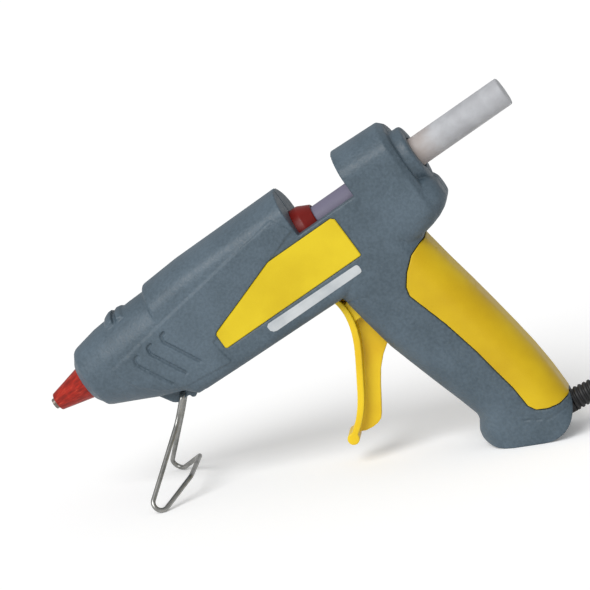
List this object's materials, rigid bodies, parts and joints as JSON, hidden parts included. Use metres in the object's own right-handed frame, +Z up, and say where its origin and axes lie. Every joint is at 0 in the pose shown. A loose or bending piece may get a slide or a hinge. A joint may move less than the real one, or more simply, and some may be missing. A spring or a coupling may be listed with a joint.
{
  "type": "glue gun",
  "caption": "Trigger-fed hot-melt glue gun with a two-shell body, top feed window, slide-in glue stick, folding wire stand and mains cord with plug.",
  "frame": {"origin": "on the floor under the middle of the gun's box, measured without the cord", "axes": "+X from the nozzle towards the handle, +Y to the side with the screws, +Z up"},
  "size_m": [0.3489, 0.0835, 0.1339],
  "materials": {
    "housing": "fine texture",
    "yellow": "satin",
    "silver_label": "satin foil",
    "red": "satin",
    "steel": "bright",
    "brass": "turned",
    "alloy": "as cast",
    "ceramic": "fired",
    "film": "film",
    "glue": "translucent",
    "white_plastic": "moulded",
    "black_rubber": "matt",
    "lead": "matt"
  },
  "bodies": {
    "housing": {"left_shell": "housing", "right_shell": "housing", "rear_grip": "yellow", "left_name_plate": "yellow", "right_name_plate": "yellow", "rating_label": "silver_label", "shell_screws": "steel", "nozzle": "brass", "nozzle_cap": "red", "melt_chamber": "alloy", "front_seat_ring": "red", "heater_pill": "ceramic", "heater_electrodes": "alloy", "heater_films": "film", "heater_clamp": "steel", "inlet_sleeve": "red", "sleeve_clip": "steel", "trigger_pin": "steel", "return_spring": "steel", "lead_wires": "lead", "crimp_connectors": "steel", "cord_cores": "lead", "cord_clamp": "white_plastic", "clamp_screws": "steel", "cord_tail": "black_rubber", "strain_relief": "black_rubber", "power_cord": "black_rubber", "cord_coil": "black_rubber", "cord_tie": "white_plastic", "plug_body": "black_rubber", "plug_pins": "brass"},
    "trigger": {"trigger": "yellow"},
    "carriage": {"feed_carriage": "white_plastic", "jaw_pin": "steel"},
    "jaw": {"feed_jaw": "steel"},
    "stick": {"glue_stick": "glue"},
    "stand": {"stand_wire": "steel"}
  },
  "joints": [
    {"name": "trigger_squeeze", "type": "hinge", "parent": "housing", "child": "trigger", "pos_m": [0.02464, 0, 0.06539], "axis": [0, -1, 0], "range_deg": [0, 18], "stiffness_Nm_per_rad": 0.2, "springref_deg": -17.19, "deforming": ["return_spring"]},
    {"name": "carriage_feed", "type": "slide", "parent": "housing", "child": "carriage", "axis": [-0.9011, 0, -0.4337], "range_m": [0, 0.00537]},
    {"name": "jaw_grip", "type": "hinge", "parent": "carriage", "child": "jaw", "pos_m": [0.04768, 0, 0.09823], "axis": [0, 1, 0], "range_deg": [0, 3]},
    {"name": "stick_load", "type": "slide", "parent": "carriage", "child": "stick", "axis": [0.9011, 0, 0.4337], "range_m": [0, 0.095]},
    {"name": "stand_fold", "type": "hinge", "parent": "housing", "child": "stand", "pos_m": [-0.04596, 0, 0.0373], "axis": [0, -1, 0], "range_deg": [0, 100]}
  ],
  "couplings": [
    {"joint": "carriage_feed", "follows": "trigger_squeeze", "m_per_rad": 0.017098},
    {"joint": "jaw_grip", "follows": "trigger_squeeze", "ratio": 0.16665}
  ]
}
